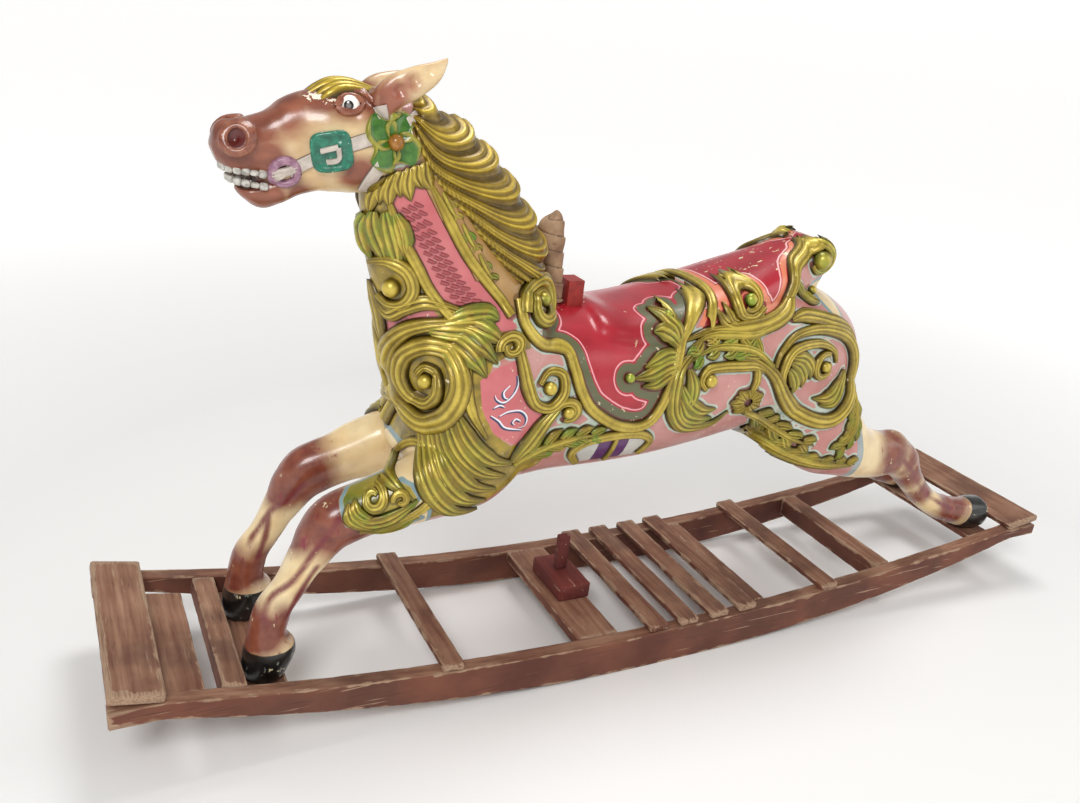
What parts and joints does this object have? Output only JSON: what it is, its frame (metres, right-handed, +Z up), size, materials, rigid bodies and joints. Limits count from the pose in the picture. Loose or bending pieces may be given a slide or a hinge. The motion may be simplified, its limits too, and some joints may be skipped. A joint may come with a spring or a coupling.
{
  "type": "carousel horse on bow rocker",
  "caption": "Carved and painted galloping carousel horse with saddle and handle post, set by its hooves on a bow-shaped wooden rocker of rails, slats and boards.",
  "frame": {"origin": "on the floor, under the middle of the rocker", "axes": "+X towards the horse's tail along the rocker, +Y towards its right side, +Z up"},
  "size_m": [2.0011, 0.376, 1.0613],
  "materials": {
    "carved_paint": "aged gold, cream, pink and red oil paint over carved wood, glazed and chipped",
    "rocker_paint": "dusty red-brown paint worn to bare wood at the edges",
    "worn_wood": "bare worn wood with remains of red-brown paint",
    "tape": "matte tan cloth tape, wrapped and dirty",
    "dark_red_paint": "dark red paint"
  },
  "bodies": {
    "root": {"carved_horse": "carved_paint", "near_rail": "rocker_paint", "far_rail": "rocker_paint", "front_end_board": "worn_wood", "front_inner_board": "rocker_paint", "front_cross_bar": "rocker_paint", "slat_1": "rocker_paint", "middle_board": "rocker_paint", "slat_2": "rocker_paint", "slat_3": "rocker_paint", "slat_4": "rocker_paint", "slat_5": "rocker_paint", "rear_middle_board": "rocker_paint", "slat_6": "rocker_paint", "rear_cross_bar": "rocker_paint", "rear_end_board": "rocker_paint", "front_hoof_board": "rocker_paint", "rear_hoof_board": "rocker_paint", "step_block": "rocker_paint", "step_stub": "rocker_paint", "handle_post": "tape", "handle_foot": "dark_red_paint"}
  },
  "joints": []
}
